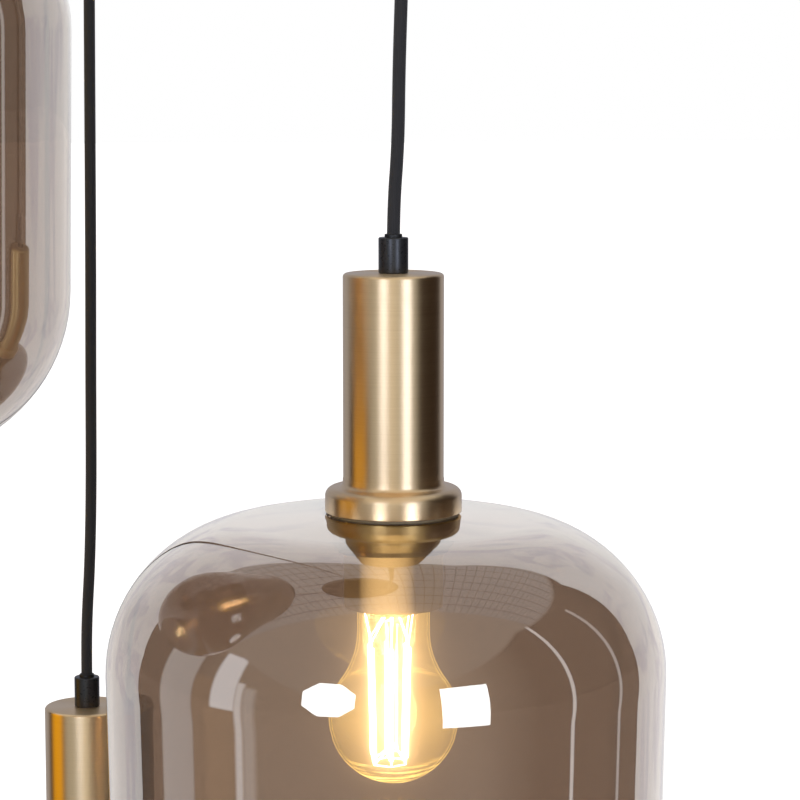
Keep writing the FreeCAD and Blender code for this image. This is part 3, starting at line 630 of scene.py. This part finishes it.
def bulb_glass_material():
    """Clear glass with a painted glow from its own emission, standing in for the filaments' light. The painted
    glow is stronger in rough reflections, as a painted warm reflection on the brass round it.
    """
    material, tree, shader = new_material("bulb_glass")
    shader.inputs["Base Color"].default_value = colour(1.0, 0.98, 0.94)
    shader.inputs["Roughness"].default_value = 0.0
    shader.inputs["Transmission Weight"].default_value = 1.0
    shader.inputs["IOR"].default_value = 1.46
    shader.inputs["Emission Color"].default_value = colour(1.0, 0.76, 0.2)
    paths = add_node(tree, "ShaderNodeLightPath")
    not_sharp = math_node(tree, "SUBTRACT", 1, paths.outputs["Is Singular Ray"])
    rough_bounce = math_node(tree, "MULTIPLY", paths.outputs["Is Glossy Ray"], not_sharp)
    # The painted glow thins out towards the outline and ends in a painted bright line
    place = add_node(tree, "ShaderNodeTexCoord")
    facing = add_node(tree, "ShaderNodeLayerWeight", Blend=0.5).outputs["Facing"]
    upwards = add_node(tree, "ShaderNodeSeparateXYZ", Vector=place.outputs["Normal"]).outputs[2]
    painted_glow = map_range(tree, facing, 0.05, 0.75, *PAINTED_GLASS_GLOW)
    painted_glow = math_node(tree, "MULTIPLY", painted_glow, map_range(tree, upwards, -0.3, 0.05, 1.0, PAINTED_NECK_GLOW))
    line = map_range(tree, facing, 0.8, 0.92, 0.0, PAINTED_OUTLINE_GLOW)
    # Painted glints: arcs of emitted light on the glass's lower part
    lower = map_range(tree, upwards, -0.45, -0.9, 0.0, 1.0)
    stretch = add_node(tree, "ShaderNodeMapping", Vector=place.outputs["Object"], Scale=ARC_STRETCH).outputs[0]
    streaks = add_node(tree, "ShaderNodeTexNoise", Vector=stretch, Scale=1.0, Detail=3.0).outputs["Fac"]
    arcs = math_node(tree, "MULTIPLY", lower, map_range(tree, streaks, 0.5, 0.6, *PAINTED_GLINT_GLOW))
    seen = math_node(tree, "ADD", math_node(tree, "ADD", painted_glow, line), arcs)
    # Painted warm reflection: rough reflections, as on the brass, see the glass glow stronger
    tree.links.new(mix_values(tree, rough_bounce, seen, PAINTED_GLOW_ON_BRASS), shader.inputs["Emission Strength"])
    return material


def lit_filament(name, strength):
    """A lit rod or wire."""
    material, tree, shader = new_material(name)
    glow = add_node(
        tree, "ShaderNodeGroup", {"node_tree": uneven_glow},
        Deep=colour(1.0, 0.8, 0.48), Pale=colour(1.0, 0.9, 0.68),
    )
    tree.links.new(glow.outputs["Colour"], shader.inputs["Emission Color"])
    shader.inputs["Base Color"].default_value = colour(1.0, 0.75, 0.35)
    shader.inputs["Emission Strength"].default_value = strength
    return material


# Painted warm glow on the sleeve: the side facing this way glows, standing in for the bulb's light
SLEEVE_LIGHT_FROM = (-0.27, -0.963, 0.0)
SLEEVE_PAINTED_GLOW = (0.16, 2.2)


def sleeve_metal():
    """The sleeve's brass, with a painted warm glow on its front that stands in for the bulb's light inside the
    shade.
    """
    material, tree, shader = new_material("sleeve_brass")
    lines = add_node(
        tree, "ShaderNodeGroup", {"node_tree": turned_lines},
        Dark=colour(0.55, 0.42, 0.27), Light=colour(0.68, 0.54, 0.36), Crispness=0.5,
    )
    tree.links.new(lines.outputs["Colour"], shader.inputs["Base Color"])
    shader.inputs["Metallic"].default_value = 1.0
    shader.inputs["Roughness"].default_value = 0.32
    # Painted light: emission strongest on the side facing SLEEVE_LIGHT_FROM
    shader.inputs["Emission Color"].default_value = colour(1.0, 0.78, 0.36)
    outwards = add_node(tree, "ShaderNodeTexCoord").outputs["Normal"]
    facing_light = add_node(
        tree, "ShaderNodeVectorMath", {"operation": "DOT_PRODUCT"}, _0=outwards, _1=SLEEVE_LIGHT_FROM
    )
    glow = map_range(tree, facing_light.outputs["Value"], 0.82, 1.0, *SLEEVE_PAINTED_GLOW)
    tree.links.new(glow, shader.inputs["Emission Strength"])
    return material


# Of the cord's weave: strands along one diameter's length, and round the cord
STRANDS_ALONG = 6.0
STRANDS_AROUND = 12.0


def braided_cord():
    """A textile sleeve woven of strands that cross."""
    material, tree, shader = new_material("braided_cord")
    uv = add_node(tree, "ShaderNodeTexCoord").outputs["UV"]
    split = add_node(tree, "ShaderNodeSeparateXYZ", Vector=uv)
    along = math_node(tree, "MULTIPLY", split.outputs[0], STRANDS_ALONG)
    waves = []
    for way in (1, -1):
        around = math_node(tree, "MULTIPLY", split.outputs[1], way * STRANDS_AROUND)
        phase = math_node(tree, "ADD", along, around)
        waves.append(math_node(tree, "SINE", math_node(tree, "MULTIPLY", phase, 2 * math.pi)))
    weave = math_node(tree, "MAXIMUM", *waves)
    height = map_range(tree, weave, -1, 1, 0, 1)
    # Painted shade: the weave is darker where it lies low between the strands and lighter on their crowns
    tone = mix_colours(tree, height, colour(0.006, 0.006, 0.007), colour(0.035, 0.035, 0.04))
    tree.links.new(tone, shader.inputs["Base Color"])
    shader.inputs["Roughness"].default_value = 0.6
    shader.inputs["Sheen Weight"].default_value = 0.2
    bump = add_node(tree, "ShaderNodeBump", Height=weave, Strength=0.6, Distance=0.0003)
    tree.links.new(bump.outputs[0], shader.inputs["Normal"])
    return material


# Turned pieces of a lamp head

STEM_HOLE = 5.05
GLAND = [(STEM_HOLE, 0, 0), (6.8, 0, 0.6), (6.8, 16.2, 0.6), (4.05, 16.2, 0), (4.05, 7, 0), (STEM_HOLE, 7, 0)]
CLAMP = [(3.05, 7.2, 0), (4.0, 7.2, 0), (4.0, 17.7, 0.3), (3.05, 17.7, 0)]
TUBE = [(STEM_HOLE, 0, 0), (23, 0, 1.6), (23, -99.5, 0), (21.5, -99.5, 0), (21.5, -2, 0.8), (STEM_HOLE, -2, 0)]
FLANGE = [
    (22.65, -109, 0), (31.3, -109, 0.5), (31.3, -98, 4), (23.3, -97.2, 2.2), (23.15, -93.7, 0),
    (23.05, -93.7, 0), (23.05, -99.5, 0), (21.5, -99.5, 0), (21.5, -99.8, 0), (22.65, -99.8, 0),
]
SLEEVE = [(21.4, -152.6, 0.5), (22.6, -152.6, 0.5), (22.6, -99.8, 0), (21.4, -99.8, 0)]
CLAMP_RING = [
    (22.65, -125, 0), (25, -125, 1), (25, -122.25, 1), (30, -117.67, 1), (30, -114, 1), (22.65, -114, 0),
]
GLASS = [
    (27.2, -110, 0.8), (32, -110, 15), (129.8, -117.87, 70), (125.36, -372, 74), (50, -372, 1.4),
    (50, -369, 1.4), (122.42, -369, 71), (126.75, -120.63, 67), (31.88, -113, 12), (27.2, -113, 0.8),
]
# The glasses hang a little beside their brass, along X
GLASS_SHIFTS = {"a": -0.0034, "b": 0.0, "c": -0.0016}

# Bulb: a round body that flows into a neck
BULB_BOTTOM = -235.4
BULB_RADIUS = 30.0
BULB_NECK_RADIUS = 16.6
BULB_FLARE_RADIUS = 40.0
BULB_NECK_TOP = -153.6
BULB_LIP_WIDTH = 3
BULB_LIP_HEIGHT = 1.8
BULB_WALL = 1.0


def bulb_mesh():
    """The envelope's outside, from its lowest point up: two arcs, a straight neck and a lip."""
    bm = bmesh.new()
    middle = BULB_BOTTOM + BULB_RADIUS
    across = BULB_NECK_RADIUS + BULB_FLARE_RADIUS
    rise = math.sqrt((BULB_RADIUS + BULB_FLARE_RADIUS) ** 2 - across**2)
    body_angle = math.pi / 2 + math.atan2(rise, across)
    flare_angle = math.atan2(rise, across)
    start = bm.verts.new((0, 0, BULB_BOTTOM))
    body = bmesh.ops.spin(
        bm, geom=[start], cent=(0, 0, middle), axis=(0, -1, 0), angle=body_angle, steps=32
    )
    join = [v for v in body["geom_last"] if isinstance(v, bmesh.types.BMVert)]
    flare = bmesh.ops.spin(
        bm, geom=join, cent=(across, 0, middle + rise), axis=(0, 1, 0), angle=flare_angle, steps=16
    )
    neck = [v for v in flare["geom_last"] if isinstance(v, bmesh.types.BMVert)]
    top = bm.verts.new((BULB_NECK_RADIUS, 0, BULB_NECK_TOP))
    inner = bm.verts.new((BULB_NECK_RADIUS - BULB_LIP_WIDTH, 0, BULB_NECK_TOP + BULB_LIP_HEIGHT))
    bm.edges.new((neck[0], top))
    bm.edges.new((top, inner))
    return spun_mesh("bulb_glass", bm, steps=96)


# Across and height of the filaments' ends; the cage stands a little off the axis, along X
FILAMENT_ROD_RADIUS = 1.2
FILAMENT_TOP = (9.8, -171.6)
FILAMENT_BOTTOM = (8.5, -223.6)
FILAMENT_COUNT = 6
FILAMENT_FIRST_TURN = 30
FILAMENT_SHIFT = -2.0
WIRE_RADIUS = 0.35
WIRE_SEGMENTS = 8
WIRE_HOOK = 3.0
LOOP_TOP = -155.5
# Where each loop's outer and inner end stand, as shares of its filament's own place
LOOP_OUTER = 1.25
LOOP_INNER = 0.3
STEM = [(0, -153.8, 0), (11, -153.8, 0.3), (9, -155.6, 3), (2.6, -160.2, 3), (2.2, -221, 1), (0, -222, 0)]


def rod(bm, start, end, radius, segments=10):
    """A round rod between two points, with caps."""
    along = end - start
    place = Matrix.Translation((start + end) / 2) @ along.to_track_quat("Z", "Y").to_matrix().to_4x4()
    bmesh.ops.create_cone(
        bm, cap_ends=True, segments=segments, radius1=radius, radius2=radius, depth=along.length, matrix=place
    )


def filament_spots(across, height):
    turns = [math.radians(FILAMENT_FIRST_TURN + 360 / FILAMENT_COUNT * k) for k in range(FILAMENT_COUNT)]
    return [Vector((FILAMENT_SHIFT + across * math.cos(turn), across * math.sin(turn), height)) for turn in turns]


def filament_mesh():
    bm = bmesh.new()
    for top, bottom in zip(filament_spots(*FILAMENT_TOP), filament_spots(*FILAMENT_BOTTOM)):
        rod(bm, top, bottom, FILAMENT_ROD_RADIUS)
    return finished_mesh("led_filaments", bm)


def wire_mesh():
    """Glowing wires: a loop from each filament's top up into the neck, and a hook at its lower end."""
    bm = bmesh.new()

    def wire(start, end):
        rod(bm, start, end, WIRE_RADIUS, WIRE_SEGMENTS)

    bottoms = filament_spots(*FILAMENT_BOTTOM)
    hook = Vector((0, 0, WIRE_HOOK))
    for k, top in enumerate(filament_spots(*FILAMENT_TOP)):
        wire(top - hook / 2, top + hook)
        wire(top + hook, Vector((top.x * LOOP_OUTER, top.y * LOOP_OUTER, LOOP_TOP)))
        wire(top + hook, Vector((top.x * LOOP_INNER, top.y * LOOP_INNER, LOOP_TOP)))
        wire(bottoms[k] + hook / 2, bottoms[k] - hook)
        wire(bottoms[k] - hook, bottoms[k - 1] - hook)
        wire(bottoms[k] - hook, Vector((0, 0, bottoms[k].z + 2 * hook.z)))
    return finished_mesh("filament_wires", bm)


def add_lens_glow():
    """The filaments' soft glow in the camera's lens."""
    scene = bpy.context.scene
    scene.use_nodes = True
    tree = scene.node_tree
    tree.nodes.clear()
    picture = tree.nodes.new("CompositorNodeRLayers")
    glow = tree.nodes.new("CompositorNodeGlare")
    glow.glare_type = "FOG_GLOW"
    glow.quality = "HIGH"
    for name, value in (("Threshold", 1.4), ("Strength", 1.0), ("Size", 0.6), ("Saturation", 0.95)):
        glow.inputs[name].default_value = value
    out = tree.nodes.new("CompositorNodeComposite")
    tree.links.new(picture.outputs["Image"], glow.inputs["Image"])
    tree.links.new(glow.outputs["Image"], out.inputs["Image"])


make_camera()
make_world()
make_floor()
for box_name, box in SOFTBOXES.items():
    make_softbox(box_name, **box)
add_lens_glow()

uneven_finish = make_uneven_finish()
turned_lines = make_turned_lines()
uneven_glow = make_uneven_glow()
brass = brushed_brass()
black_satin = plain_material("black_satin", (0.02, 0.021, 0.024), 0.3)
black_nylon = plain_material("black_nylon", (0.012, 0.012, 0.012), 0.5)
sleeve_brass = sleeve_metal()
ring_metal = plain_material("ring_metal", (0.55, 0.53, 0.5), 0.3, metallic=1.0, unevenness=0.05)
glowing_wire = lit_filament("glowing_wire", 60.0)
glass = smoke_glass()
bulb_glass = bulb_glass_material()
filament_light = lit_filament("lit_filament", 170.0)
cord_weave = braided_cord()

glass_mesh = turned_mesh("smoke_shade", GLASS, steps=192, rounding_segments=20)
meshes = {
    "gland": (turned_mesh("gland", GLAND), black_satin, "black_metal", "cord_gland"),
    "gland_clamp": (turned_mesh("gland_clamp", CLAMP), black_nylon, "nylon", "cord_clamp"),
    "brass_tube": (turned_mesh("brass_tube", TUBE), brass, "satin_brass", "head_tube"),
    "brass_flange": (turned_mesh("brass_flange", FLANGE, rounding_segments=10), brass, "satin_brass", "flange"),
    "glass_sleeve": (turned_mesh("glass_sleeve", SLEEVE), sleeve_brass, "satin_brass", "sleeve"),
    "ring_under_glass": (turned_mesh("ring_under_glass", CLAMP_RING), ring_metal, "clamp_steel", "clamp_ring"),
    "smoke_shade": (glass_mesh, glass, "smoke_glass", "glass_shade"),
}
bulb = bulb_mesh()
filaments = filament_mesh()
wires = wire_mesh()
stem = turned_mesh("bulb_stem", STEM, steps=48)
for pendant in HEADS:
    for piece_name, (mesh, material, slot, node) in meshes.items():
        shift = GLASS_SHIFTS[pendant] if mesh == glass_mesh else 0.0
        dress(at_head(piece_name, mesh, pendant, shift), material, f"head_{pendant}", slot, f"{node}_{pendant}")
    shell = at_head("bulb_glass", bulb, pendant)
    wall = shell.modifiers.new("wall", "SOLIDIFY")
    wall.thickness = BULB_WALL * MILLIMETRE
    wall.offset = -1
    bulb_body = f"bulb_{pendant}"
    dress(shell, bulb_glass, bulb_body, "clear_glass", f"bulb_envelope_{pendant}")
    rods = at_head("led_filaments", filaments, pendant)
    dress(rods, filament_light, bulb_body, "filament", f"bulb_filaments_{pendant}")
    dress(at_head("filament_wires", wires, pendant), glowing_wire, bulb_body, "filament")
    dress(at_head("bulb_stem", stem, pendant), bulb_glass, bulb_body, "clear_glass")
    dress(cord_piece(pendant), cord_weave, f"cord_{pendant}", "textile_cord", f"cord_{pendant}")

slot_materials = {
    "black_steel": plain_material("black_powder_coat", (0.015, 0.015, 0.016), 0.45),
    "zinc_steel": plain_material("zinc_plate", (0.6, 0.61, 0.62), 0.35, metallic=1.0),
    "black_screw": black_satin,
    "earth_brass": plain_material("plain_brass", (0.7, 0.52, 0.24), 0.3, metallic=1.0),
    "terminal_plastic": plain_material("pale_plastic", (0.8, 0.79, 0.74), 0.5),
    "cord_sheath": black_nylon,
    "black_metal": black_satin,
    "nylon": black_nylon,
    "silicone": plain_material("silicone", (0.32, 0.24, 0.13), 0.5),
    "holder_plastic": black_nylon,
    "contact_brass": plain_material("contact_brass", (0.7, 0.52, 0.24), 0.3, metallic=1.0),
    "cap_metal": plain_material("cap_metal", (0.7, 0.69, 0.66), 0.3, metallic=1.0),
    "filament": filament_light,
}
node_slots = {part["node"]: part["material_slot"] for part in frame["record"]["subparts"]}
for node_name, node in frame["nodes"].items():
    finish = slot_materials.get(node_slots[node_name])
    if finish and not node.hide_render:
        for place in node.material_slots:
            place.link = "OBJECT"
            place.material = finish

bpy.context.scene.view_settings.view_transform = "Standard"
